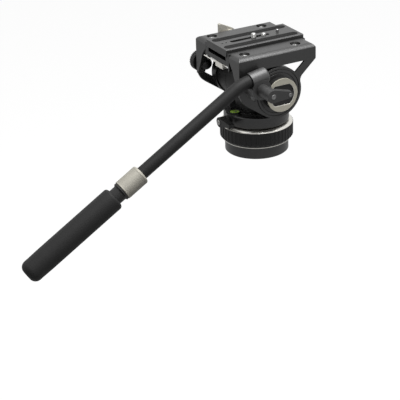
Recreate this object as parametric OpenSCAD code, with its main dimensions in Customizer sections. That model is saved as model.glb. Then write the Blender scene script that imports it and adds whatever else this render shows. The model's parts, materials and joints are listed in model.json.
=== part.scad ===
// Fluid video head with a flat base, a tilting cradle, a sliding camera plate and a telescopic pan handle.
// Frame: +Z up, +Y forward along the lens, +X to the operator's right, where the handle is.
// The origin is on the pan axis, at the underside of the base. All lengths are in millimetres.

/* [Base and pan] */
// Radius of the plain band that stands on the tripod
base_r = 41; // [36:0.5:46]
// Height of the plain band
base_h = 15; // [10:0.5:24]
// Tapping radius of the thread in the underside
thread_r = 3.97; // [3:0.01:5]
// Depth of the thread in the underside
thread_depth = 13; // [8:0.5:16]
// Radius over the ribs of the pan drag ring
ring_r = 47.2; // [45:0.2:56]
// Height of the ribbed part of the pan drag ring
ring_h = 20.2; // [14:0.2:28]
// Number of ribs around the pan drag ring
rib_count = 48; // [40:4:96]
// Depth of the grooves between the ribs
rib_depth = 0.9; // [0.4:0.1:1.6]
// Height of the polished chamfer on top of the drag ring
trim_h = 2.6; // [1.5:0.1:5]
// Radial width of the polished chamfer
trim_w = 4.2; // [2:0.1:6]
// Radius of the pan housing
housing_r = 42; // [39:0.5:43]
// Height of the pan housing
housing_h = 15.9; // [12:0.1:24]
// Radius of the pan spindle
spindle_r = 8; // [6:0.5:11]

/* [Tilt body] */
// Height of the tilt axis above the pan housing
axis_rise = 36.7; // [35.5:0.1:44]
// Radius of the tilt drum
drum_r = 31.5; // [28:0.5:33]
// Half length of the tilt drum along its axis
drum_half = 43.9; // [43:0.1:50]
// Half width of the middle part of the tilt drum
core_half = 22; // [16:0.5:28]
// Radius of the tilt axle
axle_r = 8; // [6:0.5:10]
// Radius of the bubble level's vial
vial_r = 6; // [4:0.5:8]

/* [Cradle] */
// Length of the cradle along the lens
cradle_len = 110; // [100:1:130]
// Radius of the round hub on each side frame
hub_r = 33.4; // [31:0.1:34.4]
// Thickness of a side frame at the hub
frame_t = 10.7; // [9:0.1:14]
// Width of the flange on top of a side frame
flange_w = 25.2; // [22:0.2:26]
// Radius of the flange's outer edge
flange_edge_r = 10.5; // [6:0.5:14]
// Width of the arms between flange and hub
arm_w = 10.3; // [7:0.1:12]
// Slope of the front arm
front_slope = 42; // [38:1:46]
// Drop from the wall to the bend of the rear arm
rear_drop = 37; // [28:0.5:38]
// Distance of the handle rosette behind the tilt axis
rosette_back = 36.2; // [34:0.1:40]
// Height of the handle rosette above the tilt axis
rosette_rise = 18.1; // [15:0.1:19]
// Radius of the handle rosette
rosette_r = 13; // [11:0.5:14]
// Thickness of the clamp's floor
floor_t = 6; // [4:0.5:8]
// Height of the hollow under the camera plate
hollow_h = 6; // [5:0.5:9]
// Radius of the counterbores for the frame screws
bore_r = 6.7; // [5.4:0.1:7]
// Radius of the tilt drag dial
dial_r = 21.7; // [19:0.1:24]
// Thickness of the tilt drag dial
dial_t = 9.9; // [8:0.1:14]

/* [Camera plate] */
// Width of the camera plate
plate_w = 50; // [48:0.5:52]
// Length of the camera plate
plate_len = 111.6; // [104:0.2:124]
// Thickness of the camera plate
plate_t = 9; // [8:0.5:12]
// How far the plate's top stands above the flanges
plate_proud = 3.4; // [2:0.1:5]
// Radius of the camera screws
screw_r = 3.175; // [3:0.005:3.2]
// Length of the main camera screw above the plate
screw_up = 5.5; // [4:0.5:8]
// Radius of the video pin
pin_r = 2; // [1.5:0.1:2.2]

/* [Handle] */
// Distance of the handle tube from the middle of the head
handle_x = 67.6; // [67:0.1:74]
// Radius of the handle tube
tube_r = 7.5; // [6:0.1:8]
// Rise of the bracket's sleeve towards the front
sleeve_rise = 10.4; // [4:0.2:16]
// Height of the sleeve above the rosette
sleeve_offset = 12.6; // [12.4:0.1:16]
// Slope of the straight part of the handle
droop = 31; // [24:0.5:40]
// Bend radius of the handle tube
bend_r = 60; // [40:1:70]
// Length of bare tube between the bend and the lock collar
bare_len = 163; // [120:1:220]
// Radius of the lock collar
collar_r = 10.8; // [10.4:0.1:14]
// Length of the lock collar
collar_len = 31; // [22:1:44]
// Length of the neck between collar and grip
neck_len = 16; // [10:1:24]
// Radius of the hand grip
grip_r = 14.4; // [12:0.1:18]
// Length of the hand grip
grip_len = 135; // [100:1:170]

/* [Hidden] */
$fn = 96;
// Overlap that keeps cuts clear of faces
eps = 0.01;
// Radial clearance of a running fit
run = 0.05;
// Gap between flat faces of pieces that turn or slide past each other
gap = 0.4;

// Colours as the head shows them
black = [0.13, 0.13, 0.135];
soft_black = [0.09, 0.09, 0.095];
charcoal = [0.2, 0.2, 0.205];
champagne = [0.66, 0.63, 0.56];
silver = [0.78, 0.78, 0.8];
steel = [0.55, 0.56, 0.58];
brass = [0.7, 0.58, 0.32];
vial_green = [0.6, 0.85, 0.25];

// Base and pan stack
hub_inset = 3;
seat_r = base_r - hub_inset;
line_h = 0.8;
line_r = seat_r + 5.6;
groove_h = 0.8;
line_z = base_h + groove_h;
ring_z = line_z + line_h + gap;
ring_top = ring_z + ring_h;
trim_top = ring_top + trim_h;
ring_chamfer = 3.5;
hub_top = ring_top - 1;
spindle_flange_r = 20;
spindle_flange_h = 3;
bush_t = 3;
housing_z = trim_top + gap;
housing_top = housing_z + housing_h;
housing_round = 3;
housing_edge = 1.5;
nut_r = 13;
nut_h = 4;
nut_room = 0.6;
spindle_top = housing_top - 1.5;
nut_z = spindle_top - nut_h - 0.4;
bush_z = housing_z + 0.6;
bush_h = nut_z - gap - bush_z;

// Tilt body
tilt_z = housing_top + axis_rise;
neck_back = 21;
neck_front = 27;
neck_round = 8;
plinth_r = 34;
plinth_h = 2.4;
drum_wall = 4;
drum_groove = 0.5;
spring_play = 0.4;
spring_room = 10;
spring_side = 3;
plate_count = 4;
plate_disc_t = 2;
lobe_r = 11;
lobe_x = 4;
lobe_in = 8;
lobe_y = -housing_r + lobe_in;
lobe_up = 1;
cup_t = 2;
cup_up = 1.4;
cup_sink = 2.5;
lock_x = 1.5;
lock_z = housing_z + 6.8;
lock_boss_r = 7;
lock_boss_y = -housing_r - 4;
lock_hub_r = 6.5;
lock_hub_len = 9.2;
lock_stud_r = 3;
lock_reach = 26;
lock_tip_up = 4.9;
lock_tip_low = 0.4;

// Cradle heights
floor_rise = 36.3;
floor_z = tilt_z + floor_rise;
hollow_z = floor_z + floor_t;
seat_z = hollow_z + hollow_h;
plate_top = seat_z + plate_t;
flange_top = plate_top - plate_proud;
wall_z = floor_z - 1.5;
flange_t = 9.8;
flange_z = flange_top - flange_t;

// Side frames
half = cradle_len / 2;
frame_in = drum_half + 0.6;
frame_out = frame_in + frame_t;
flange_in = frame_out - flange_w;
wall_in = frame_in - 6.5;
corner_r = 6;
edge_turn = 52;
edge_reach = flange_edge_r * sin(edge_turn);
neck_fillet = 10;
rear_corner_r = 24;
arm_t = 3;
rear_taper_in = 3.5;
rear_z = wall_z - rear_drop;
rear_taper_z = rear_z + 6;
rear_taper_x = frame_out - rear_taper_in;
bearing_r = axle_r + 4;
bearing_w = 7;
axle_end = frame_in + bearing_w - 0.5;
boss_r = 9;
boss_len = 5;
groove_w = 1.1;
groove_d = 1.4;
groove_radii = [hub_r - 3.4, hub_r - 7.6];
rosette_y = -rosette_back;
rosette_z = tilt_z + rosette_rise;
rosette_h = 2;
stud_r = 4;

// Clamp base and its screws
play = 1;
channel = plate_w / 2 + play;
ledge_w = 4;
ear_half = 8;
ear_t = flange_z - floor_z - 2;
ear_out = frame_out - 8;
ear_play = 0.1;
frame_screw_x = frame_out - 14.2;
frame_screw_back = 16;
frame_screw_front = 21.5;
frame_screw_y = [-half + frame_screw_back, half - frame_screw_front];
cap_r = 5;
cap_h = 4;
shank_r = 2.5;
hex_r = 2.3;
bore_depth = 6;
lever_screw_y = -3;
lever_screw_z = wall_z + 10;
lever_screw_r = 3;
jaw_half = 12;
jaw_t = 3.9;
jaw_rest = 0.1;
jaw_face = -plate_w / 2 - jaw_rest;
jaw_leg_x = jaw_face - jaw_t + 2.4;
jaw_z = lever_screw_z - lever_screw_r - 0.8;
release_r = 1.6;
release_y = -half + 4.4;
tab_up = release_r + 1;
release_z = floor_z - tab_up - 0.7;
release_x0 = -34;
release_x1 = 26;
lug_t = 3;
lug_x = 28;
tab_x0 = -5;
tab_x1 = 13;
tab_drop = 4.4;
tab_back = 4.2;
tab_front = 2.7;

// Dial and levers
dial_x = frame_out + gap;
dial_face_t = 1.5;
dial_bar_half = 13.4;
dial_inset_r = dial_r - 4.6;
tilt_lock_r = 12;
tilt_lock_t = 12;
tilt_lock_reach = 30;

// Handle
bracket_in = frame_out + rosette_h + gap;
sleeve_wall = 2.5;
sleeve_r = tube_r + sleeve_wall;
bracket_out = handle_x + sleeve_r;
sleeve_back = 9.1;
sleeve_front = 14.7;
sleeve_len = sleeve_back + sleeve_front;
sleeve_dome = 3;
tube_end_back = 3;
bend_back = 21.1;
mouth_play = 1.3;
mouth_depth = 4;
mouth_reach = max(sleeve_back, rosette_r) + 1;
turn = droop - sleeve_rise;
bend_tangent = bend_r * tan(turn / 2);
foot_y = rosette_y - sleeve_offset * sin(sleeve_rise);
foot_z = rosette_z + sleeve_offset * cos(sleeve_rise);
vertex_y = foot_y - bend_back * cos(sleeve_rise);
vertex_z = foot_z - bend_back * sin(sleeve_rise);
collar_s = bare_len;
neck_s = collar_s + collar_len;
grip_s = neck_s + neck_len;
grip_end = grip_s + grip_len;
grip_sleeve_r = tube_r + 0.9;
thread_sleeve_r = tube_r + 1.6;
collar_lip = 7;
tube_stop = 45;
tube_bottom = grip_end - tube_stop;
clamp_hub_r = 8.2;
clamp_len = 27;
clamp_paddle = 23.3;
clamp_angle = -5;
clamp_paddle_t = 8;
clamp_tip_r = 4.2;
lever_screw_head = 3.2;
tip_screw_head = 2.4;

// Far knob
knob_in = 11;
knob_y = -half + knob_in;
knob_z = tilt_z + 15.2;
knob_r = 13.6;
knob_w = 9;
knob_stem_r = 6;
knob_stem = 3;
knob_ribs = 36;
knob_boss_r = 6.5;
knob_boss_up = 2;
knob_boss_in = 4;
knob_nut_r = 7.4;
knob_nut_h = 8;
knob_nut_round = 8.4;
knob_nut_in = 5;
knob_nut_play = 0.4;

// Plate lock lever
lock_lever_r = 8.5;
lock_lever_hub = 8;
lock_lever_t = 5;
lock_lever_reach = 21;
lock_lever_lean = 26;
lock_lever_low = 1;
lock_cap_r = 6.2;

// Camera plate
plate_over = 0.8;
plate_rear = -half - plate_over;
plate_front = plate_rear + plate_len;
plate_mid = (plate_rear + plate_front) / 2;
pad_x = 15.3;
pad_len = 105;
pad_r = 4.8;
pad_sink = 1.2;
pad_up = 0.3;
slot_back = plate_rear + 20.2;
slot_front = plate_front - 35.3;
slot_r = screw_r + 0.15;
groove_half = 8.8;
groove_up = 4.6;
groove_end = 9;
screw_y = slot_front - 22.5;
second_y = slot_front - 7.9;
second_up = 3;
thread_up = 0.3;
relief = 0.5;
shank_low_r = screw_r - 0.1;
washer_t = 0.8;
head_r = 6.9;
head_h = 3;
pin_y = plate_front - 23.1;
pin_up = 4;
pin_sink = 6;
pin_tip_r = pin_r - 0.15;
pin_point = 0.6;
rear_hole_y = [plate_rear + 8.8, plate_rear + 14.4];
rear_hole_r = 1.25;
plate_edge = 1;

// Cylinder along X between two places
module x_rod(r, x0, x1) {
    translate([x0, 0, 0]) rotate([0, 90, 0]) cylinder(r = r, h = x1 - x0);
}

// Cylinder along Y between two places
module y_rod(r, y0, y1) {
    translate([0, y0, 0]) rotate([-90, 0, 0]) cylinder(r = r, h = y1 - y0);
}

// Ring about Z
module z_ring(r_in, r_out, z0, z1) {
    translate([0, 0, z0]) difference() {
        cylinder(r = r_out, h = z1 - z0);
        translate([0, 0, -eps]) cylinder(r = r_in, h = z1 - z0 + 2 * eps);
    }
}

// Ring about X
module x_ring(r_in, r_out, x0, x1) {
    difference() {
        x_rod(r_out, x0, x1);
        x_rod(r_in, x0 - eps, x1 + eps);
    }
}

// Outline in Y and Z, drawn out along X
module yz_prism(x0, x1) {
    translate([x0, 0, 0]) rotate([90, 0, 90]) linear_extrude(x1 - x0) children();
}

// Outline in X and Z, drawn out along Y
module xz_prism(y0, y1) {
    translate([0, y1, 0]) rotate([90, 0, 0]) linear_extrude(y1 - y0) children();
}

// Box between two corners
module block(low, high) {
    translate(low) cube(high - low);
}

module at_tilt() {
    translate([0, 0, tilt_z]) children();
}

module at_rosette() {
    translate([0, rosette_y, rosette_z]) children();
}

module at_knob() {
    translate([0, knob_y, knob_z]) children();
}

// Slot outline with round ends along Y
module slot_outline(y0, y1, r) {
    translate([-r, y0 + r]) square([2 * r, y1 - y0 - 2 * r]);
    translate([0, y0 + r]) circle(r);
    translate([0, y1 - r]) circle(r);
}

// Lever outline: a round root, a smaller round tip and straight flanks between them
module taper_bar(root, tip, reach) {
    lean = asin((root - tip) / reach);
    circle(root);
    translate([reach, 0]) circle(tip);
    polygon([[root * sin(lean), root * cos(lean)],
             [reach + tip * sin(lean), tip * cos(lean)],
             [reach + tip * sin(lean), -tip * cos(lean)],
             [root * sin(lean), -root * cos(lean)]]);
}

// Lever outline: a round root and a broad paddle that rises backwards and ends upright
module broad_paddle(root, reach, lean, low) {
    corner = 2;
    touch = root * [sin(lean), cos(lean)];
    along = [-cos(lean), sin(lean)];
    tip = touch + reach * along;
    circle(root);
    polygon([touch, tip - corner * along, tip - [0, corner], [tip[0], low], [0, -root]]);
}

// Points of an arc, counted anticlockwise in degrees
function arc(c, r, a0, a1, steps) =
    [for (i = [0:steps]) c + r * [cos(a0 + (a1 - a0) * i / steps), sin(a0 + (a1 - a0) * i / steps)]];

// Ribbed outline about the origin
module ribbed(r, depth, count) {
    pitch = 360 / count;
    share = [0, 0.3, 0.45, 0.85];
    polygon([for (i = [0:count - 1], k = [0:3])
        let (a = (i + share[k]) * pitch, q = k < 2 ? r : r - depth)
        [q * cos(a), q * sin(a)]]);
}

// Round plain band with the hub that the drag ring turns on
module base_flange() {
    chamfer = 1;
    color(black) difference() {
        rotate_extrude() polygon([[0, 0], [base_r - chamfer, 0], [base_r, chamfer], [base_r, base_h - chamfer],
            [base_r - chamfer, base_h], [seat_r - hub_inset, base_h], [seat_r - hub_inset, line_z],
            [seat_r, line_z], [seat_r, hub_top], [0, hub_top]]);
        translate([0, 0, -eps]) cylinder(r = thread_r + 3 + run, h = thread_depth + eps);
        translate([0, 0, hub_top - spindle_flange_h])
            cylinder(r = spindle_flange_r + run, h = spindle_flange_h + eps);
    }
}

// Threaded insert that takes the tripod's screw
module thread_socket() {
    color(steel) z_ring(thread_r, thread_r + 3, 0, thread_depth);
}

// Bright line between the band and the drag ring
module base_trim_ring() {
    color(silver) z_ring(seat_r + run, line_r, line_z, line_z + line_h);
}

module pan_spindle() {
    color(steel) {
        translate([0, 0, hub_top - spindle_flange_h]) cylinder(r = spindle_flange_r, h = spindle_flange_h);
        translate([0, 0, hub_top - eps]) cylinder(r = spindle_r, h = spindle_top - hub_top + eps);
    }
}

module spindle_nut() {
    color(steel) z_ring(spindle_r + run, nut_r, nut_z, nut_z + nut_h);
}

// Ribbed ring that sets the pan drag
module pan_drag_ring() {
    inner = seat_r + run;
    color(soft_black) intersection() {
        translate([0, 0, ring_z]) linear_extrude(ring_h) difference() {
            ribbed(ring_r, rib_depth, rib_count);
            circle(inner);
        }
        rotate_extrude() polygon([[inner - 1, ring_z - 1], [ring_r - ring_chamfer - 1, ring_z - 1],
            [ring_r + 1, ring_z + ring_chamfer + 1], [ring_r + 1, ring_top + 1], [inner - 1, ring_top + 1]]);
    }
}

// Polished chamfer on top of the drag ring
module drag_ring_trim() {
    inner = seat_r + run;
    color(silver) rotate_extrude()
        polygon([[inner, ring_top], [ring_r - 0.3, ring_top], [ring_r - trim_w, trim_top], [inner, trim_top]]);
}

// Turning housing with the lobe for the level and the boss of the pan lock
module pan_housing() {
    bush_r = spindle_r + bush_t + run;
    color(black) difference() {
        union() {
            rotate_extrude() polygon(concat([[0, housing_z], [housing_r - housing_round, housing_z]],
                arc([housing_r - housing_round, housing_z + housing_round], housing_round, -75, 0, 5),
                arc([housing_r - housing_edge, housing_top - housing_edge], housing_edge, 0, 90, 4),
                [[0, housing_top]]));
            translate([lobe_x, lobe_y, housing_z + housing_round])
                cylinder(r = lobe_r, h = housing_h - housing_round + lobe_up);
            translate([lock_x, 0, lock_z]) y_rod(lock_boss_r, lock_boss_y, -housing_r + lock_boss_r);
        }
        translate([0, 0, housing_z - eps]) cylinder(r = bush_r, h = housing_h);
        translate([0, 0, nut_z - gap - eps]) cylinder(r = nut_r + nut_room, h = housing_h);
        translate([lobe_x, lobe_y, housing_top + lobe_up - cup_sink])
            cylinder(r = vial_r + cup_t + run, h = cup_sink + eps);
        translate([lock_x, 0, lock_z]) y_rod(lock_stud_r + run, lock_boss_y - eps, -housing_r + 8);
    }
}

module pan_bush() {
    color(brass) z_ring(spindle_r + run, spindle_r + bush_t, bush_z, bush_z + bush_h);
}

// Plan of the neck, with round corners
module neck_plan() {
    inner_x = core_half - neck_round;
    len = neck_back + neck_front;
    translate([-core_half, neck_round - neck_back]) square([2 * core_half, len - 2 * neck_round]);
    translate([-inner_x, -neck_back]) square([2 * inner_x, len]);
    for (side = [-1, 1], y = [neck_round - neck_back, neck_front - neck_round])
        translate([side * inner_x, y]) circle(neck_round);
}

// Middle of the tilt drum, with the neck and plinth that carry it
module tilt_body() {
    color(charcoal) difference() {
        union() {
            at_tilt() x_rod(drum_r, -core_half, core_half);
            translate([0, 0, housing_top]) linear_extrude(axis_rise) neck_plan();
            translate([0, 0, housing_top]) cylinder(r = plinth_r, h = plinth_h);
        }
        translate([lobe_x, lobe_y, housing_top - eps]) cylinder(r = lobe_r + 1, h = plinth_h + 2 * eps);
        at_tilt() x_rod(axle_r + run, -core_half - eps, core_half + eps);
    }
}

// Closed drum on one side of the tilt body
module drag_drum() {
    color(black) at_tilt() difference() {
        x_rod(drum_r, core_half, drum_half);
        x_rod(drum_r - drum_wall, core_half - eps, drum_half - drum_wall);
        x_rod(axle_r + run, core_half, drum_half + eps);
        x_ring(drum_r - 1, drum_r + 1, core_half - eps, core_half + drum_groove);
    }
}

module near_drag_drum() {
    drag_drum();
}

module far_drag_drum() {
    mirror([1, 0, 0]) drag_drum();
}

// Wound flat spring that balances the camera, inside the near drum
module counterbalance_spring() {
    color(steel) at_tilt()
        x_ring(axle_r + spring_room, drum_r - drum_wall - spring_play,
               core_half + spring_side, drum_half - drum_wall - spring_side);
}

// Discs that shear the grease, inside the far drum
module drag_plates() {
    room = drum_half - drum_wall - core_half;
    pitch = room / (plate_count + 1);
    color(brass) at_tilt() for (i = [1:plate_count]) {
        x = -core_half - i * pitch;
        x_ring(axle_r + run, drum_r - drum_wall - 1, x - plate_disc_t / 2, x + plate_disc_t / 2);
    }
}

module tilt_axle() {
    color(steel) at_tilt() x_rod(axle_r, -axle_end, axle_end);
}

// Holder of the bubble level
module bubble_cup() {
    cup_z = housing_top + lobe_up - cup_sink;
    color(charcoal) translate([lobe_x, lobe_y, 0]) difference() {
        translate([0, 0, cup_z]) cylinder(r = vial_r + cup_t, h = cup_sink + cup_up);
        translate([0, 0, cup_z + 1]) cylinder(r = vial_r + run, h = cup_sink + cup_up);
    }
}

// Domed vial of the bubble level
module bubble_vial() {
    vial_z = housing_top + lobe_up - cup_sink + 1;
    rim = cup_sink + cup_up - 2;
    dome = 0.8;
    dome_r = (vial_r * vial_r + dome * dome) / (2 * dome);
    color(vial_green) translate([lobe_x, lobe_y, vial_z]) intersection() {
        cylinder(r = vial_r, h = rim + dome);
        translate([0, 0, rim + dome - dome_r]) sphere(r = dome_r, $fn = 200);
    }
}

module pan_lock_stud() {
    color(steel) translate([lock_x, 0, lock_z])
        y_rod(lock_stud_r, lock_boss_y - lock_hub_len + 2, -housing_r + 8);
}

// Lever that locks the pan
module pan_lock_lever() {
    face = lock_boss_y - gap;
    thick = 8;
    corner = 1.5;
    root_up = lock_hub_r - 0.35;
    ribs = 6;
    rib_w = 1.5;
    rib_depth_in = 0.9;
    first_rib = 5;
    color(charcoal) translate([lock_x, 0, lock_z]) difference() {
        union() {
            y_rod(lock_hub_r - 0.2, face - lock_hub_len / 2, face);
            xz_prism(face - lock_hub_len, face - lock_hub_len + thick) {
                circle(lock_hub_r);
                polygon([[-1, root_up], [lock_reach - corner, lock_tip_up], [lock_reach, lock_tip_up - corner],
                    [lock_reach, lock_tip_low], [lock_hub_r / 2, -lock_hub_r * 0.75], [-1, -2]]);
            }
        }
        y_rod(lock_stud_r + run, face - lock_hub_len + 2, face + eps);
        for (i = [0:ribs - 1])
            let (x = first_rib + i * (lock_reach - first_rib - 3) / (ribs - 1),
                 top = root_up + (lock_tip_up - root_up) * x / lock_reach)
            block([x, face - lock_hub_len - eps, top - rib_depth_in],
                  [x + rib_w, face - lock_hub_len + thick + eps, lock_hub_r + 1]);
    }
}

module pan_lock_screw() {
    face = lock_boss_y - gap - lock_hub_len;
    color(silver) translate([lock_x, 0, lock_z]) difference() {
        y_rod(lever_screw_head, face - 1.2, face);
        translate([0, face - 1.2 - eps, 0]) rotate([-90, 0, 0]) cylinder(r = 1.6, h = 0.8, $fn = 6);
    }
}

// Outline of a side frame's thin arms, in front of and behind the hub, in Y and Z
module arm_outline() {
    hub = [0, tilt_z];
    front = [half, wall_z];
    along = [cos(front_slope), sin(front_slope)];
    out = [sin(front_slope), -cos(front_slope)];
    depth = -(hub - front) * out;
    reach = (front - hub) * along;
    fillet_c = hub + (neck_fillet + depth) * out
        + sqrt(pow(hub_r + neck_fillet, 2) - pow(neck_fillet + depth, 2)) * along;
    bend = [-half, rear_z];
    span = norm(bend - hub);
    touch_a = atan2(bend[1] - hub[1], bend[0] - hub[0]) + acos(hub_r / span);
    touch = hub + hub_r * [cos(touch_a), sin(touch_a)];
    rear_dir = (touch - bend) / norm(touch - bend);
    rear_in = [-rear_dir[1], rear_dir[0]];
    bend_half = atan2(rear_dir[1], rear_dir[0]) + 90;
    bend_cut = rear_corner_r * tan(bend_half / 2);
    arm_turn = arm_w * tan(bend_half / 2);
    corner_c = bend + [rear_corner_r, bend_cut];
    polygon([front, front - reach * along, front - reach * along - arm_w * out, front - arm_w * out]);
    difference() {
        polygon([hub, fillet_c, fillet_c - neck_fillet * out]);
        translate(fillet_c) circle(neck_fillet);
    }
    polygon(concat([[-half, wall_z]], arc(corner_c, rear_corner_r, 180, 180 + bend_half, 6),
        [touch, touch + arm_w * rear_in, bend + [arm_w, arm_turn], [-half + arm_w, wall_z]]));
}

// Section of the flange on top of a side frame, in X and Z
module flange_section() {
    edge_x = frame_out - edge_reach;
    edge_z = flange_top - flange_edge_r;
    edge_lap = flange_edge_r / 2;
    translate([flange_in, flange_z]) square([edge_x - flange_in, flange_t]);
    polygon([[wall_in, wall_z], [frame_out, wall_z], [frame_out, edge_z], [edge_x, edge_z],
        [edge_x, flange_z + eps], [flange_in, flange_z + eps]]);
    intersection() {
        translate([edge_x, edge_z]) circle(flange_edge_r);
        translate([edge_x - 1, edge_z - edge_lap]) square([edge_reach + 1, flange_edge_r + edge_lap + 1]);
    }
}

// Side view of the flange, with its rounded upper corners
module flange_side() {
    low = wall_z - 1;
    translate([-half, low]) square([2 * half, flange_top - corner_r - low]);
    translate([-half + corner_r, low]) square([2 * (half - corner_r), flange_top - low]);
    for (side = [-1, 1]) translate([side * (half - corner_r), flange_top - corner_r]) circle(corner_r);
}

// Side frame on the +X side, before the holes that differ between the two sides
module side_frame() {
    difference() {
        union() {
            at_tilt() x_rod(hub_r, frame_in, frame_out);
            block([frame_in, -half, wall_z], [frame_out, half, flange_top - flange_edge_r]);
            yz_prism(frame_out - arm_t, frame_out) arm_outline();
            intersection() {
                xz_prism(-half, half) flange_section();
                yz_prism(flange_in - 1, frame_out + 1) flange_side();
            }
            xz_prism(-half, -half + arm_w) polygon([[rear_taper_x, rear_taper_z], [frame_out, rear_taper_z],
                [frame_out, wall_z], [wall_in, wall_z]]);
            at_tilt() x_rod(boss_r, frame_out - eps, frame_out + boss_len);
        }
        at_tilt() x_rod(bearing_r + run, frame_in - eps, frame_in + bearing_w);
        at_tilt() for (r = groove_radii)
            x_ring(r - groove_w / 2, r + groove_w / 2, frame_out - groove_d, frame_out + 1);
        for (y = frame_screw_y) {
            translate([frame_screw_x, y, flange_top - bore_depth]) cylinder(r = bore_r, h = bore_depth + 1);
            translate([frame_screw_x, y, wall_z]) cylinder(r = shank_r + run, h = flange_top - wall_z);
            block([flange_in - 1, y - ear_half - ear_play, flange_z - ear_t - ear_play],
                  [ear_out + ear_play, y + ear_half + ear_play, flange_z]);
        }
    }
}

module near_side_frame() {
    color(black) difference() {
        union() {
            side_frame();
            at_rosette() x_rod(rosette_r, frame_in, frame_out);
        }
        at_rosette() x_rod(stud_r + run, frame_in - 1, frame_out + 1);
    }
}

module far_side_frame() {
    color(black) difference() {
        union() {
            mirror([1, 0, 0]) side_frame();
            at_knob() x_rod(knob_boss_r, -frame_out - knob_boss_up, -frame_out + knob_boss_in + 1);
        }
        at_knob() x_rod(stud_r + run, -frame_out - knob_boss_up - 1, -frame_out + knob_boss_in + 1);
        at_knob() x_rod(knob_nut_r + knob_nut_play, -frame_out + knob_boss_in, -wall_in + 1);
        translate([0, lever_screw_y, lever_screw_z]) x_rod(lever_screw_r + run, -frame_out - 1, -flange_in + 1);
    }
}

// Channel that the camera plate slides in, with ears for the frame screws and lugs for the release lever
module clamp_base() {
    wall_top = flange_top - 0.6;
    color(charcoal) difference() {
        union() {
            block([-flange_in, -half, floor_z], [flange_in, half, wall_top]);
            for (side = [-1, 1], y = frame_screw_y)
                block([min(side * (flange_in - eps), side * ear_out), y - ear_half, flange_z - ear_t],
                      [max(side * (flange_in - eps), side * ear_out), y + ear_half, flange_z]);
            for (x = [-lug_x, lug_x - lug_t])
                block([x, release_y - release_r - 1.4, release_z - release_r - 1.4],
                      [x + lug_t, release_y + release_r + 1.4, floor_z + eps]);
        }
        block([-channel, -half - 1, seat_z], [channel, half + 1, flange_top + 1]);
        block([-channel + ledge_w, -half - 1, hollow_z], [channel - ledge_w, half + 1, seat_z + 1]);
        for (side = [-1, 1], y = frame_screw_y)
            translate([side * frame_screw_x, y, wall_z]) cylinder(r = shank_r + run, h = flange_top - wall_z);
        translate([0, release_y, release_z]) x_rod(release_r + run, -lug_x - 1, lug_x + 1);
        block([-flange_in - 1, lever_screw_y - jaw_half - gap, jaw_z - gap],
              [jaw_leg_x + gap, lever_screw_y + jaw_half + gap, flange_top + 1]);
        block([jaw_leg_x, lever_screw_y - jaw_half - gap, seat_z],
              [-channel + eps, lever_screw_y + jaw_half + gap, flange_top + 1]);
    }
}

// Cap screws that hold the side frames to the clamp base
module frame_screws() {
    head_z = flange_top - bore_depth;
    color(silver) for (side = [-1, 1], y = frame_screw_y)
        translate([side * frame_screw_x, y, 0]) difference() {
            union() {
                translate([0, 0, head_z]) cylinder(r = cap_r, h = cap_h);
                translate([0, 0, flange_z - ear_t]) cylinder(r = shank_r, h = head_z - flange_z + ear_t + eps);
            }
            translate([0, 0, head_z + cap_h / 2]) cylinder(r = hex_r, h = cap_h, $fn = 6);
        }
}

module tilt_bearing() {
    color(brass) at_tilt() x_ring(axle_r + run, bearing_r, frame_in, frame_in + bearing_w - 1);
}

module near_tilt_bearing() {
    tilt_bearing();
}

module far_tilt_bearing() {
    mirror([1, 0, 0]) tilt_bearing();
}

// Toothed ring that keeps the handle's angle
module handle_rosette() {
    teeth = 24;
    tooth_gap = 1.2;
    tooth_h = 0.7;
    color(steel) at_rosette() difference() {
        x_ring(stud_r + run, rosette_r - 0.5, frame_out, frame_out + rosette_h);
        for (i = [0:teeth - 1]) rotate([i * 360 / teeth, 0, 0])
            block([frame_out + rosette_h - tooth_h, -tooth_gap / 2, stud_r + 2.5],
                  [frame_out + rosette_h + 1, tooth_gap / 2, rosette_r]);
    }
}

module handle_stud() {
    color(steel) at_rosette() x_rod(stud_r, frame_in, bracket_out + clamp_len - 6);
}

module knob_stud() {
    color(steel) at_knob()
        x_rod(stud_r, -frame_out - knob_boss_up - knob_stem - knob_w + 3,
              -frame_out + knob_boss_in + knob_nut_in);
}

// Domed nut on the inner end of the far knob's stud
module knob_nut() {
    seat = -frame_out + knob_boss_in;
    color(black) at_knob() difference() {
        translate([seat, 0, 0]) rotate([0, 90, 0]) rotate_extrude() intersection() {
            square([knob_nut_r, knob_nut_h + 1]);
            translate([0, knob_nut_h - knob_nut_round]) circle(knob_nut_round);
        }
        x_rod(stud_r + run, seat - 1, seat + knob_nut_in);
    }
}

// Body of the tilt drag dial
module tilt_drag_dial() {
    body_t = dial_t - dial_face_t;
    bar_half = 4;
    color(soft_black) at_tilt() difference() {
        union() {
            x_rod(dial_r - 0.6, dial_x, dial_x + body_t);
            intersection() {
                x_rod(dial_inset_r - run, dial_x, dial_x + dial_t - 0.3);
                block([dial_x, -dial_r, -bar_half], [dial_x + dial_t, dial_r, bar_half]);
            }
        }
        x_rod(boss_r + run, dial_x - eps, dial_x + boss_len);
    }
}

// Champagne face of the dial with its flat-sided opening
module dial_face() {
    face_x = dial_x + dial_t - dial_face_t;
    color(champagne) at_tilt() difference() {
        x_rod(dial_r, face_x, face_x + dial_face_t);
        intersection() {
            x_rod(dial_inset_r, face_x - eps, face_x + dial_face_t + eps);
            block([face_x - 1, -dial_r, -dial_bar_half], [face_x + dial_t, dial_r, dial_bar_half]);
        }
    }
}

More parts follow.
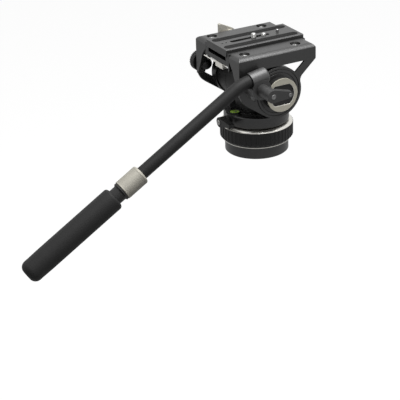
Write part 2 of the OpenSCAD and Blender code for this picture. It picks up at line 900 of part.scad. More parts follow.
// Lever that locks the tilt, on the far side
module tilt_lock_lever() {
    inner = -frame_out - gap;
    outer = inner - tilt_lock_t;
    paddle_in = 1;
    paddle_t = 5;
    paddle_w = 2 * clamp_tip_r - 1;
    color(charcoal) at_tilt() difference() {
        union() {
            x_rod(tilt_lock_r, outer, inner);
            rotate([-60, 0, 0]) {
                translate([outer + paddle_in, 0, -paddle_w / 2]) cube([paddle_t, tilt_lock_reach, paddle_w]);
                translate([0, tilt_lock_reach, 0])
                    x_rod(clamp_tip_r, outer + paddle_in / 2, outer + 1.5 * paddle_in + paddle_t);
            }
        }
        x_rod(boss_r + run, inner - boss_len, inner + eps);
    }
}

module tilt_lock_screw() {
    face = -frame_out - gap - tilt_lock_t;
    color(silver) at_tilt() difference() {
        x_rod(lever_screw_head + 1, face - 1.2, face);
        translate([face - 1.2 - eps, 0, 0]) rotate([0, 90, 0]) cylinder(r = 1.8, h = 0.8, $fn = 6);
    }
}

// Places along the sleeve, with Z pointing forward along it
module along_sleeve() {
    translate([handle_x, foot_y, foot_z]) rotate([sleeve_rise - 90, 0, 0]) children();
}

// Places along the straight handle, with Z pointing back and down from the bend
module along_handle() {
    translate([handle_x, vertex_y, vertex_z]) rotate([90 + droop, 0, 0]) children();
}

// Bracket with the rosette boss and the closed sleeve for the tube
module handle_bracket() {
    color(charcoal) difference() {
        union() {
            at_rosette() x_rod(rosette_r, bracket_in, bracket_out);
            along_sleeve() translate([0, 0, -sleeve_back]) rotate_extrude()
                polygon(concat([[0, 0], [sleeve_r, 0]],
                    arc([sleeve_r - sleeve_dome, sleeve_len - sleeve_dome], sleeve_dome, 0, 90, 6),
                    [[0, sleeve_len]]));
        }
        along_sleeve() {
            translate([0, 0, -mouth_reach])
                cylinder(r = tube_r + 2 * run, h = mouth_reach + sleeve_front - tube_end_back);
            translate([0, 0, -mouth_reach])
                cylinder(r = tube_r + mouth_play, h = mouth_reach - sleeve_back + mouth_depth);
        }
        at_rosette() x_rod(stud_r + run, bracket_in - 1, bracket_out + 1);
    }
}

// Bent inner tube of the handle, its three lengths held together by cores
module handle_tube() {
    seam = 0.02;
    core = 4;
    core_r = tube_r - 1.5;
    color(black) {
        along_sleeve() {
            translate([0, 0, -bend_back + bend_tangent + seam])
                cylinder(r = tube_r, h = bend_back - bend_tangent + sleeve_front - tube_end_back - seam);
            translate([0, 0, -bend_back + bend_tangent - core]) cylinder(r = core_r, h = 2 * core);
        }
        translate([handle_x, vertex_y + bend_tangent * cos(sleeve_rise) + bend_r * sin(sleeve_rise),
                   vertex_z + bend_tangent * sin(sleeve_rise) - bend_r * cos(sleeve_rise)])
            rotate([90, 0, 90]) rotate([0, 0, 90 + sleeve_rise])
                rotate_extrude(angle = turn) translate([bend_r, 0]) circle(tube_r);
        along_handle() {
            translate([0, 0, bend_tangent + seam]) cylinder(r = tube_r, h = tube_bottom - bend_tangent - seam);
            translate([0, 0, bend_tangent - core]) cylinder(r = core_r, h = 2 * core);
        }
    }
}

// Lever that clamps the handle's bracket
module clamp_lever() {
    base = bracket_out + gap;
    color(charcoal) at_rosette() difference() {
        union() {
            x_rod(clamp_hub_r - 0.2, base, base + clamp_len - clamp_paddle_t / 2);
            yz_prism(base + clamp_len - clamp_paddle_t, base + clamp_len)
                rotate(clamp_angle) taper_bar(clamp_hub_r, clamp_tip_r, clamp_paddle);
        }
        x_rod(stud_r + run, base - eps, base + clamp_len - 5);
    }
}

// Screws in the clamp lever's hub and tip
module clamp_lever_screws() {
    face = bracket_out + gap + clamp_len;
    color(silver) at_rosette() rotate([clamp_angle, 0, 0])
        for (s = [[0, lever_screw_head], [clamp_paddle, tip_screw_head]]) translate([0, s[0], 0]) difference() {
            x_rod(s[1], face, face + 0.8);
            translate([face + 0.2, 0, 0]) rotate([0, 90, 0]) cylinder(r = 0.6 * s[1], h = 1, $fn = 6);
        }
}

// Outer tube of the handle: threaded end, flared neck and the length inside the grip
module grip_sleeve() {
    inner = tube_r + run;
    flare = 10;
    lip = 2;
    deep = grip_end - 12;
    color(black) along_handle() rotate_extrude() polygon([
        [inner, collar_s + collar_lip + gap], [thread_sleeve_r, collar_s + collar_lip + gap],
        [thread_sleeve_r, neck_s + gap], [collar_r - 0.2, neck_s + gap], [collar_r - 0.2, neck_s + gap + lip],
        [grip_sleeve_r, neck_s + flare], [grip_sleeve_r, deep], [inner, deep]]);
}

// Moulded grip with round shoulders and a domed end
module hand_grip() {
    inner = grip_sleeve_r + run;
    shoulder = 4;
    nose = 7;
    deep = grip_end - 12;
    color(soft_black) along_handle() rotate_extrude() polygon(concat(
        [[inner, grip_s], [grip_r - shoulder, grip_s]],
        arc([grip_r - shoulder, grip_s + shoulder], shoulder, -75, 0, 5),
        arc([grip_r - nose, grip_end - nose], nose, 0, 80, 6),
        [[0, grip_end], [0, deep + run], [inner, deep + run]]));
}

// Twist collar that locks the telescopic handle
module lock_collar() {
    edge = 0.8;
    color(champagne) along_handle() rotate_extrude() polygon([
        [tube_r + run, collar_s], [collar_r - edge, collar_s], [collar_r, collar_s + edge],
        [collar_r, neck_s - edge], [collar_r - edge, neck_s], [thread_sleeve_r + run, neck_s],
        [thread_sleeve_r + run, collar_s + collar_lip], [tube_r + run, collar_s + collar_lip]]);
}

// Ribbed knob on the far side
module side_knob() {
    inner = -frame_out - knob_boss_up - gap;
    stem_end = inner - knob_stem;
    color(black) at_knob() difference() {
        union() {
            x_rod(knob_stem_r, stem_end - eps, inner);
            yz_prism(stem_end - knob_w, stem_end) ribbed(knob_r, 0.8, knob_ribs);
        }
        x_rod(stud_r + run, stem_end - knob_w + 3, inner + eps);
    }
}

// Lever that clamps the camera plate
module plate_lock_lever() {
    inner = -frame_out - gap;
    color(champagne) translate([0, lever_screw_y, lever_screw_z]) difference() {
        union() {
            x_rod(lock_cap_r, inner - lock_lever_hub, inner);
            yz_prism(inner - lock_lever_hub, inner - lock_lever_hub + lock_lever_t)
                broad_paddle(lock_lever_r, lock_lever_reach, lock_lever_lean, lock_lever_low);
        }
        x_rod(lever_screw_r + run, inner - lock_lever_hub - 1, inner + 1);
    }
}

// Screw that draws the clamp jaw, with a black cap outside the lever
module plate_lock_screw() {
    outer = -frame_out - gap - lock_lever_hub;
    cap = 2.5;
    color(soft_black) translate([0, lever_screw_y, lever_screw_z]) {
        x_rod(lever_screw_r, outer - cap / 2, -flange_in);
        x_rod(lock_cap_r, outer - cap, outer);
    }
}

// Jaw that presses on the camera plate
module clamp_jaw() {
    top = flange_top - 0.8;
    color(steel) xz_prism(lever_screw_y - jaw_half, lever_screw_y + jaw_half)
        polygon([[jaw_face - jaw_t, jaw_z], [jaw_leg_x, jaw_z], [jaw_leg_x, seat_z + gap],
            [jaw_face, seat_z + gap], [jaw_face, top], [jaw_face - jaw_t, top]]);
}

// Thumb tab of the plate's safety catch
module release_lever() {
    color(champagne) translate([0, release_y, release_z]) difference() {
        block([tab_x0, -tab_back, -tab_drop], [tab_x1, tab_front, tab_up]);
        x_rod(release_r + run, tab_x0 - 1, tab_x1 + 1);
    }
}

// Bright rod that the thumb tab turns with
module release_bar() {
    color(silver) translate([0, release_y, release_z]) x_rod(release_r, release_x0, release_x1);
}

// Camera plate with its screw slot
module camera_plate() {
    w = plate_w / 2;
    color(black) difference() {
        xz_prism(plate_rear, plate_front) polygon([[-w + plate_edge, seat_z], [w - plate_edge, seat_z],
            [w, seat_z + plate_edge], [w, plate_top - plate_edge / 2], [w - plate_edge / 2, plate_top],
            [-w + plate_edge / 2, plate_top], [-w, plate_top - plate_edge / 2], [-w, seat_z + plate_edge]]);
        translate([0, 0, seat_z]) linear_extrude(plate_t + 1) slot_outline(slot_back, slot_front, slot_r);
        translate([0, 0, seat_z - 1]) linear_extrude(groove_up + 1)
            slot_outline(slot_back - groove_end, slot_front + groove_end, groove_half);
        for (x = [-pad_x, pad_x]) translate([x, plate_mid, plate_top - pad_sink])
            linear_extrude(pad_sink + 1) slot_outline(-pad_len / 2, pad_len / 2, pad_r);
        translate([0, pin_y, seat_z - 1]) cylinder(r = pin_r + run, h = plate_t + 2);
        for (y = rear_hole_y) translate([0, y, plate_top - 3]) cylinder(r = rear_hole_r, h = 4);
    }
}

// Rubber pads on the camera plate
module plate_pads() {
    color(soft_black) for (x = [-pad_x, pad_x]) translate([x, plate_mid, plate_top - pad_sink])
        linear_extrude(pad_sink + pad_up) slot_outline(-pad_len / 2 + run, pad_len / 2 - run, pad_r - run);
}

// Washer that slides under the slot and carries the main camera screw
module screw_washer() {
    color(steel) translate([0, screw_y, 0])
        z_ring(shank_low_r + run, head_r + 1, seat_z + groove_up - washer_t - 0.05, seat_z + groove_up - 0.05);
}

// Screw with a slotted head below the plate
module mount_screw(y, up) {
    head_top = seat_z + groove_up - washer_t - 0.15;
    color(silver) translate([0, y, 0]) difference() {
        union() {
            translate([0, 0, head_top - head_h]) cylinder(r = head_r, h = head_h);
            translate([0, 0, head_top - eps])
                cylinder(r = shank_low_r, h = plate_top - thread_up - head_top + eps);
            translate([0, 0, head_top]) cylinder(r = screw_r - relief, h = plate_top + up / 2 - head_top);
            translate([0, 0, plate_top + thread_up]) cylinder(r = screw_r, h = up - thread_up);
        }
        block([-head_r - 1, -0.6, head_top - head_h - 1], [head_r + 1, 0.6, head_top - head_h + 1.2]);
    }
}

module camera_screw() {
    mount_screw(screw_y, screw_up);
}

module second_screw() {
    mount_screw(second_y, second_up);
}

// Sprung pin that stops a camera from turning
module video_pin() {
    color(silver) translate([0, pin_y, plate_top - pin_sink]) {
        cylinder(r = pin_r, h = pin_sink - thread_up);
        cylinder(r = pin_tip_r - relief, h = pin_sink + pin_up / 2);
        translate([0, 0, pin_sink + thread_up]) cylinder(r = pin_tip_r, h = pin_up - pin_point - thread_up);
        translate([0, 0, pin_sink + pin_up - pin_point])
            cylinder(r1 = pin_tip_r, r2 = pin_tip_r - pin_point, h = pin_point);
    }
}

base_flange();
thread_socket();
base_trim_ring();
pan_spindle();
spindle_nut();
pan_drag_ring();
drag_ring_trim();
pan_housing();
pan_bush();
tilt_body();
near_drag_drum();
far_drag_drum();
counterbalance_spring();
drag_plates();
tilt_axle();
bubble_cup();
bubble_vial();
pan_lock_stud();
pan_lock_lever();
pan_lock_screw();
near_side_frame();
far_side_frame();
clamp_base();
frame_screws();
near_tilt_bearing();
far_tilt_bearing();
handle_rosette();
handle_stud();
knob_stud();
knob_nut();
tilt_drag_dial();
dial_face();
tilt_lock_lever();
tilt_lock_screw();
handle_bracket();
handle_tube();
clamp_lever();
clamp_lever_screws();
grip_sleeve();
hand_grip();
lock_collar();
side_knob();
plate_lock_lever();
plate_lock_screw();
clamp_jaw();
release_lever();
release_bar();
camera_plate();
plate_pads();
screw_washer();
camera_screw();
second_screw();
video_pin();
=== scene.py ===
import json
import math

import bmesh
import bpy
from mathutils import Matrix, Vector


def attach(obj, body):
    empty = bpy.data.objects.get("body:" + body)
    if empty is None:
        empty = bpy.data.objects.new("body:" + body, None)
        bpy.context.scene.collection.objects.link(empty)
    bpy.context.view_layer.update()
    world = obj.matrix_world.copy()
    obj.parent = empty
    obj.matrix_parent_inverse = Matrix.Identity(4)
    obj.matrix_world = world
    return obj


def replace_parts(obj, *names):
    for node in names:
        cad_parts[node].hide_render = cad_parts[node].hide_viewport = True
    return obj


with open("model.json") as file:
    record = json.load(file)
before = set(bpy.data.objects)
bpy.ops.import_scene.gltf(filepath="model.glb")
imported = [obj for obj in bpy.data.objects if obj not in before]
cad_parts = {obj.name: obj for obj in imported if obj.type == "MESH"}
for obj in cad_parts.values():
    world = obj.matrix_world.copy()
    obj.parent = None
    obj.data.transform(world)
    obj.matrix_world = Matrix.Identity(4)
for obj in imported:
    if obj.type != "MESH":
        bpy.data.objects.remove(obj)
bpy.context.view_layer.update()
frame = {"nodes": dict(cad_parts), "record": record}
nodes = frame["nodes"]
MM = 0.001

# Where the two straight runs of the handle meet, in millimetres, and the slope of the long run
HANDLE_BEND = Vector((67.6, -59.225, 119.482))
HANDLE_DROOP = math.radians(31)


# Camera, floor and light

def add_camera():
    """Camera of the photograph: swing about the head, height, roll and lens."""
    swing, rise, roll = (math.radians(v) for v in (62.33, 25.19, 2.0))
    level = Vector((-math.sin(swing), math.cos(swing), 0))
    right0 = Vector((math.cos(swing), math.sin(swing), 0))
    up0 = math.sin(rise) * level + Vector((0, 0, math.cos(rise)))
    ahead = math.cos(rise) * level - Vector((0, 0, math.sin(rise)))
    right = math.cos(roll) * right0 - math.sin(roll) * up0
    up = math.sin(roll) * right0 + math.cos(roll) * up0
    data = bpy.data.cameras.new("camera")
    data.lens = 134.09
    data.sensor_width = 36
    data.sensor_fit = "HORIZONTAL"
    camera = bpy.data.objects.new("camera", data)
    place = Matrix((right, up, -ahead)).transposed().to_4x4()
    place.translation = Vector((1.5384, -0.8925, 0.7623))
    camera.matrix_world = place
    bpy.context.scene.collection.objects.link(camera)
    bpy.context.scene.camera = camera


def add_lamp(name, at, target, size, power):
    """Soft box at a point, turned to another point."""
    data = bpy.data.lights.new(name, "AREA")
    data.shape = "RECTANGLE"
    data.size, data.size_y = size
    data.energy = power
    lamp = bpy.data.objects.new(name, data)
    lamp.location = at
    lamp.rotation_euler = (Vector(target) - Vector(at)).to_track_quat("-Z", "Y").to_euler()
    bpy.context.scene.collection.objects.link(lamp)


def seen_rays(tree, mirrored):
    """1 for the rays that show the background; the mirrored share for those from glossy faces."""
    rays = tree.nodes.new("ShaderNodeLightPath").outputs
    share = tree.nodes.new("ShaderNodeMath")
    share.operation = "MULTIPLY"
    share.inputs[1].default_value = mirrored
    tree.links.new(rays["Is Glossy Ray"], share.inputs[0])
    seen = rays["Is Camera Ray"]
    for more in (rays["Is Transmission Ray"], share.outputs[0]):
        most = tree.nodes.new("ShaderNodeMath")
        most.operation = "MAXIMUM"
        tree.links.new(seen, most.inputs[0])
        tree.links.new(more, most.inputs[1])
        seen = most.outputs[0]
    return seen


def show_background(tree, mirrored, plain, shown, out):
    """Gives the output the shown shader for rays that show the background, and the plain one for the rest."""
    mix = tree.nodes.new("ShaderNodeMixShader")
    tree.links.new(seen_rays(tree, mirrored), mix.inputs[0])
    tree.links.new(plain.outputs[0], mix.inputs[1])
    tree.links.new(shown.outputs[0], mix.inputs[2])
    tree.links.new(mix.outputs[0], out.inputs["Surface"])


def add_world():
    """White to the eye and in reflections, a weak even light for the rest."""
    world = bpy.data.worlds.new("studio")
    world.use_nodes = True
    tree = world.node_tree
    tree.nodes.clear()
    weak = tree.nodes.new("ShaderNodeBackground")
    weak.inputs["Color"].default_value = (1, 1, 1, 1)
    weak.inputs["Strength"].default_value = 0.10
    white = tree.nodes.new("ShaderNodeBackground")
    white.inputs["Color"].default_value = (1, 1, 1, 1)
    white.inputs["Strength"].default_value = 1.0
    show_background(tree, 1.0, weak, white, tree.nodes.new("ShaderNodeOutputWorld"))
    bpy.context.scene.world = world


def add_floor():
    """Pale floor well below the head, which stands on a support in use."""
    z, half = -0.42, 3.0
    corners = [(x * half, y * half, z) for x, y in ((-1, -1), (1, -1), (1, 1), (-1, 1))]
    mesh = bpy.data.meshes.new("floor")
    mesh.from_pydata(corners, [], [(0, 1, 2, 3)])
    floor = bpy.data.objects.new("floor", mesh)
    bpy.context.scene.collection.objects.link(floor)
    material = bpy.data.materials.new("floor_paper")
    material.use_nodes = True
    tree = material.node_tree
    tree.nodes.clear()
    pale = tree.nodes.new("ShaderNodeBsdfDiffuse")
    pale.inputs["Color"].default_value = (0.8, 0.8, 0.8, 1)
    dull = tree.nodes.new("ShaderNodeBsdfDiffuse")
    dull.inputs["Color"].default_value = (0.12, 0.12, 0.12, 1)
    glow = tree.nodes.new("ShaderNodeEmission")
    glow.inputs["Strength"].default_value = 1.1
    lit = tree.nodes.new("ShaderNodeMixShader")
    lit.inputs[0].default_value = 0.85
    tree.links.new(pale.outputs[0], lit.inputs[1])
    tree.links.new(glow.outputs[0], lit.inputs[2])
    show_background(tree, 0.55, dull, lit, tree.nodes.new("ShaderNodeOutputMaterial"))
    mesh.materials.append(material)


# Materials

class Tree:
    """Node tree of one material, with short ways to add and join nodes."""

    def __init__(self, name):
        self.material = bpy.data.materials.new(name)
        self.material.use_nodes = True
        self.tree = self.material.node_tree
        self.shader = self.tree.nodes["Principled BSDF"]
        self.place = self.tree.nodes.new("ShaderNodeTexCoord").outputs["Object"]

    def add(self, kind, **values):
        node = self.tree.nodes.new(kind)
        for key, value in values.items():
            setattr(node, key, value)
        return node

    def join(self, out, into):
        self.tree.links.new(out, into)

    def set(self, **values):
        for key, value in values.items():
            self.shader.inputs[key.replace("_", " ")].default_value = value

    def noise(self, size, detail=3, rough=0.5, stretch=None):
        """Noise whose lumps are about size metres, drawn out along an axis by stretch."""
        node = self.add("ShaderNodeTexNoise")
        node.inputs["Scale"].default_value = 1 / size
        node.inputs["Detail"].default_value = detail
        node.inputs["Roughness"].default_value = rough
        source = self.place
        if stretch:
            mapping = self.add("ShaderNodeMapping")
            mapping.inputs["Scale"].default_value = stretch
            self.join(self.place, mapping.inputs["Vector"])
            source = mapping.outputs[0]
        self.join(source, node.inputs["Vector"])
        return node.outputs["Fac"]

    def ramp(self, fac, stops):
        """Colour ramp over (place, colour) stops."""
        node = self.add("ShaderNodeValToRGB")
        points = node.color_ramp.elements
        while len(points) < len(stops):
            points.new(0.5)
        for point, (at, colour) in zip(points, stops):
            point.position = at
            point.color = (*colour, 1)
        self.join(fac, node.inputs["Fac"])
        return node.outputs["Color"]

    def span(self, fac, low, high, start=0.3, end=0.7):
        """Number that runs from low to high as the source runs from start to end."""
        node = self.add("ShaderNodeMapRange")
        for key, value in zip(("From Min", "From Max", "To Min", "To Max"), (start, end, low, high)):
            node.inputs[key].default_value = value
        self.join(fac, node.inputs["Value"])
        return node.outputs["Result"]

    def product(self, a, b):
        """One socket's number times another's."""
        node = self.add("ShaderNodeMath", operation="MULTIPLY")
        self.join(a, node.inputs[0])
        self.join(b, node.inputs[1])
        return node.outputs[0]

    def mix(self, fac, a, b):
        """The colour of socket a where fac is 0, and the plain colour b where it is 1."""
        node = self.add("ShaderNodeMix", data_type="RGBA")
        self.join(fac, node.inputs["Factor"])
        self.join(a, node.inputs[6])
        node.inputs[7].default_value = (*b, 1)
        return node.outputs[2]

    def soft_edges(self, radius):
        """Rounded normal, and a mask that is 1 along convex and concave edges."""
        bevel = self.add("ShaderNodeBevel", samples=4)
        bevel.inputs["Radius"].default_value = radius
        flat = self.add("ShaderNodeNewGeometry")
        dot = self.add("ShaderNodeVectorMath", operation="DOT_PRODUCT")
        self.join(bevel.outputs[0], dot.inputs[0])
        self.join(flat.outputs["Normal"], dot.inputs[1])
        return bevel.outputs[0], self.span(dot.outputs["Value"], 1, 0, 0.80, 0.99)

    def bump(self, height, depth, normal, strength):
        """Normal with the height's relief of depth metres on it."""
        node = self.add("ShaderNodeBump")
        node.inputs["Strength"].default_value = strength
        node.inputs["Distance"].default_value = depth
        self.join(height, node.inputs["Height"])
        self.join(normal, node.inputs["Normal"])
        return node.outputs["Normal"]

    def finish(self, colour, rough, normal=None):
        """The material, with these sockets joined to its shader."""
        for value, key in ((colour, "Base Color"), (rough, "Roughness"), (normal, "Normal")):
            if value is not None:
                self.join(value, self.shader.inputs[key])
        return self.material


def grey(level):
    """Neutral colour of a level."""
    return (level, level, level)


def scaled(colour, share, more=0.0):
    """Colour times a share, with a little more on top, within white."""
    return tuple(min(1, share * c + more) for c in colour)


def coated_casting(name, level, rough=0.36, grain=0.35, shine=0.5):
    """Satin coat on cast metal: fine orange peel, clouded tone, edges rubbed a shade lighter."""
    worn = 0.25
    t = Tree(name)
    t.set(Metallic=0.0, Specular_IOR_Level=shine)
    cloud = t.noise(22 * MM, 4, 0.6)
    speck = t.noise(grain * MM, 2, 0.6)
    tone = t.ramp(cloud, [(0.3, grey(level * 0.86)), (0.7, grey(level * 1.12))])
    normal, edge = t.soft_edges(0.5 * MM)
    wear = t.product(edge, t.span(t.noise(6 * MM, 4, 0.65), 0.15 * worn, worn, 0.35, 0.7))
    colour = t.mix(wear, tone, grey(level * 2.2 + 0.02))
    return t.finish(colour, t.span(speck, rough - 0.07, rough + 0.07), t.bump(speck, 0.03 * MM, normal, 0.5))


def moulded_plastic(name, level, rough=0.42):
    """Moulded plastic with a fine spark-eroded grain."""
    t = Tree(name)
    t.set(Metallic=0.0, Specular_IOR_Level=0.3)
    speck = t.noise(0.5 * MM, 3, 0.6)
    cloud = t.noise(14 * MM, 3, 0.55)
    normal, edge = t.soft_edges(0.4 * MM)
    tone = t.ramp(cloud, [(0.3, grey(level * 0.85)), (0.7, grey(level * 1.15))])
    colour = t.mix(t.product(edge, t.span(cloud, 0.1, 0.3)), tone, grey(level * 2 + 0.03))
    return t.finish(colour, t.span(speck, rough - 0.08, rough + 0.1), t.bump(speck, 0.05 * MM, normal, 0.6))


def rubber(name, level, stipple, shine=0.25):
    """Matt rubber with a close stipple and a dusty tone."""
    t = Tree(name)
    t.set(Metallic=0.0, Specular_IOR_Level=shine)
    cells = t.add("ShaderNodeTexVoronoi")
    cells.inputs["Scale"].default_value = 1 / (stipple * MM)
    t.join(t.place, cells.inputs["Vector"])
    dust = t.noise(9 * MM, 4, 0.65)
    tone = t.ramp(dust, [(0.3, grey(level * 0.82)), (0.75, grey(level * 1.25))])
    normal, edge = t.soft_edges(0.5 * MM)
    colour = t.mix(t.product(edge, t.span(dust, 0.1, 0.35)), tone, grey(level * 2.2 + 0.02))
    relief = t.bump(cells.outputs["Distance"], 0.12 * MM, normal, 0.6)
    return t.finish(colour, t.span(dust, 0.55, 0.72), relief)


def anodised(name, colour, rough=0.38, metal=0.55):
    """Bead-blasted and anodised aluminium with brighter edges."""
    t = Tree(name)
    t.set(Metallic=metal, Specular_IOR_Level=0.4)
    cloud = t.noise(11 * MM, 4, 0.6)
    blast = t.noise(0.25 * MM, 2, 0.5)
    normal, edge = t.soft_edges(0.35 * MM)
    tone = t.ramp(cloud, [(0.3, scaled(colour, 0.92)), (0.7, scaled(colour, 1.06))])
    tinted = t.mix(t.product(edge, t.span(cloud, 0.25, 0.6)), tone, scaled(colour, 1.3, 0.05))
    return t.finish(tinted, t.span(blast, rough - 0.06, rough + 0.08), t.bump(blast, 0.02 * MM, normal, 0.5))


def bare_metal(name, colour, rough, lines):
    """Turned or drawn metal: fine lines across the given stretch, brighter edges."""
    t = Tree(name)
    t.set(Metallic=1.0)
    streak = t.noise(0.4 * MM, 4, 0.7, lines)
    cloud = t.noise(5 * MM, 3, 0.6)
    normal, edge = t.soft_edges(0.25 * MM)
    tone = t.ramp(streak, [(0.25, scaled(colour, 0.85)), (0.75, colour)])
    tinted = t.mix(t.product(edge, t.span(cloud, 0, 0.3)), tone, scaled(colour, 1.15))
    return t.finish(tinted, t.span(cloud, rough - 0.05, rough + 0.09), t.bump(streak, 0.01 * MM, normal, 0.4))


def vial_fluid(name):
    """Yellow-green fluid of a bubble level seen through its clear cap, with a faint painted glow that stands in
    for the light coming through the cap.
    """
    t = Tree(name)
    t.set(Specular_IOR_Level=0.6, Transmission_Weight=0.25, Coat_Weight=0.6, Coat_Roughness=0.05)
    cloud = t.noise(3 * MM, 3, 0.5)
    tone = t.ramp(cloud, [(0.3, (0.50, 0.78, 0.10)), (0.7, (0.66, 0.92, 0.22))])
    # Painted glow: a faint emission in the fluid's own colour stands in for light that passes through the clear
    # cap
    t.join(tone, t.shader.inputs["Emission Color"])
    t.set(Emission_Strength=0.10)
    return t.finish(tone, t.span(cloud, 0.08, 0.16))


add_camera()
add_world()
add_floor()
add_lamp("overhead", (0.28, 0.12, 1.5), (0, 0, 0.08), (1.15, 1.15), 37)
add_lamp("front_fill", (1.9, 0.9, 0.9), (0, 0, 0.08), (1.2, 1.2), 1.5)

finishes = {
    "black_casting": coated_casting("black_casting", 0.018, shine=0.68),
    "charcoal_casting": coated_casting("charcoal_casting", 0.018, rough=0.34),
    "black_tube": coated_casting("black_tube", 0.016, rough=0.55, grain=0.25, shine=0.2),
    "black_plastic": moulded_plastic("black_plastic", 0.014),
    "grip_rubber": rubber("grip_rubber", 0.015, 0.9),
    "pad_rubber": rubber("pad_rubber", 0.016, 1.2, shine=0.06),
    "champagne": anodised("champagne", (0.34, 0.32, 0.27), rough=0.48),
    "polished": bare_metal("polished", (0.74, 0.725, 0.68), 0.32, (1, 1, 14)),
    "screw_steel": bare_metal("screw_steel", (0.40, 0.40, 0.39), 0.34, (1, 1, 6)),
    "plain_steel": bare_metal("plain_steel", (0.42, 0.42, 0.43), 0.34, (6, 1, 1)),
    "bearing_brass": bare_metal("bearing_brass", (0.62, 0.48, 0.22), 0.3, (1, 1, 6)),
    "vial": vial_fluid("vial"),
    "collar_champagne": anodised("collar_champagne", (0.40, 0.385, 0.335), rough=0.6, metal=0.3),
    "sleeve_coat": coated_casting("sleeve_coat", 0.026, rough=0.5, shine=0.3),
    # Painted glint: a near-white copy of the screw steel for the flange cap screws, standing in for the bright
    # glints on their heads down in the counterbores
    "painted_glint_flange_screws": bare_metal("painted_glint_flange_screws", (0.88, 0.88, 0.87), 0.3, (1, 1, 6)),
    "dull_screws": bare_metal("dull_screws", (0.20, 0.20, 0.20), 0.42, (1, 1, 6)),
    "bubble": moulded_plastic("bubble", 0.45, rough=0.12),
    "mark_paint": moulded_plastic("mark_paint", 0.55, rough=0.5),
}

# Nodes whose finish differs from the rest of their slot; some are lighter or darker copies that paint in light
# or shade
# Painted shade: a darker, duller copy of the black coat for the tilt body and the drag drums inside the cradle
painted_shade_inner_coat = coated_casting("painted_shade_inner_coat", 0.016, rough=0.5, shine=0.22)
own_finishes = {
    "tilt_body": painted_shade_inner_coat,
    "near_drag_drum": painted_shade_inner_coat,
    "far_drag_drum": painted_shade_inner_coat,
    # Painted light: paler copies of the finish for the plate lock lever, which faces away, and for the release
    # catch, which sits in shadow
    "plate_lock_lever": anodised("painted_lit_champagne", (0.55, 0.53, 0.47), rough=0.5),
    "release_lever": anodised("painted_lit_release", (0.92, 0.90, 0.84), rough=0.42, metal=0.75),
    "release_bar": bare_metal("bright_bar", (0.88, 0.88, 0.87), 0.2, (14, 1, 1)),
    "dial_face": anodised("dial_champagne", (0.51, 0.49, 0.415), rough=0.46),
    # Painted highlight: lighter, glossier copies of the black coat for the handle bracket and the clamp lever,
    # standing in for the highlights on their lit sides and edges
    "handle_bracket": coated_casting("painted_highlight_bracket_coat", 0.036, rough=0.44, shine=0.8),
    "clamp_lever": coated_casting("painted_highlight_lever_coat", 0.026, rough=0.42, shine=0.6),
    "pan_lock_lever": coated_casting("lever_black", 0.010, rough=0.5, shine=0.3),
    "video_pin": bare_metal("pin_steel", (0.30, 0.30, 0.30), 0.34, (1, 1, 6)),
}

for part in frame["record"]["subparts"]:
    thing = nodes.get(part["node"])
    if thing is not None:
        thing.data.materials.clear()
        thing.data.materials.append(own_finishes.get(part["node"], finishes[part["material_slot"]]))


# Pieces that carry finer detail than the solids

def add_piece(name, points, faces, body, slot, smooth=True, own=None):
    """New mesh from points in millimetres, riding on a body, in the finish of its slot or its own."""
    mesh = bpy.data.meshes.new(name)
    mesh.from_pydata([Vector(p) * MM for p in points], [], faces)
    shape = bmesh.new()
    shape.from_mesh(mesh)
    bmesh.ops.recalc_face_normals(shape, faces=shape.faces)
    shape.to_mesh(mesh)
    shape.free()
    if smooth:
        mesh.shade_smooth()
        mesh.set_sharp_from_angle(angle=math.radians(32))
    mesh.materials.append(finishes[own or slot])
    piece = bpy.data.objects.new(name, mesh)
    bpy.context.scene.collection.objects.link(piece)
    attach(piece, body)
    return piece


def skin(total, count, closed):
    """Faces between rings of points: the last ring joins the first, or each end has a cap."""
    faces = []
    for k in range(total if closed else total - 1):
        a, b = k * count, (k + 1) % total * count
        for i in range(count):
            j = (i + 1) % count
            faces.append((a + i, a + j, b + j, b + i))
    if not closed:
        faces.append(tuple(range(count - 1, -1, -1)))
        faces.append(tuple((total - 1) * count + i for i in range(count)))
    return faces


def lathe(rings, count, place, closed):
    """Surface of rings of radii: each ring is (height, radius or a radius for each step)."""
    points = []
    for height, radius in rings:
        for i in range(count):
            turn = 2 * math.pi * i / count
            r = radius[i] if isinstance(radius, list) else radius
            points.append(place @ Vector((r * math.cos(turn), r * math.sin(turn), height)))
    return points, skin(len(rings), count, closed)


def gather(points, faces, more, sides):
    """Puts one mesh's points and faces behind another's."""
    faces += [tuple(len(points) + i for i in side) for side in sides]
    points += more


def chequered(first, last, rows, count, radius, depth):
    """Rings from one height to another, with every second point sunk, for a knurl or dimples."""
    rings = []
    for k in range(rows + 1):
        height = first + (last - first) * k / rows
        rings.append((height, [radius - (depth if (i + k) % 2 else 0) for i in range(count)]))
    return rings


def along_handle():
    """Frame at the handle's bend, with Z down the handle."""
    down = Vector((0, -math.cos(HANDLE_DROOP), -math.sin(HANDLE_DROOP)))
    side = Vector((1, 0, 0))
    place = Matrix((side, down.cross(side), down)).transposed().to_4x4()
    place.translation = HANDLE_BEND
    return place


def hexagon(radius, count):
    """Radius for each step round a hexagon whose corners lie on the given radius."""
    side = math.pi / 3
    flat = radius * math.cos(side / 2)
    return [flat / math.cos((2 * math.pi * i / count) % side - side / 2) for i in range(count)]


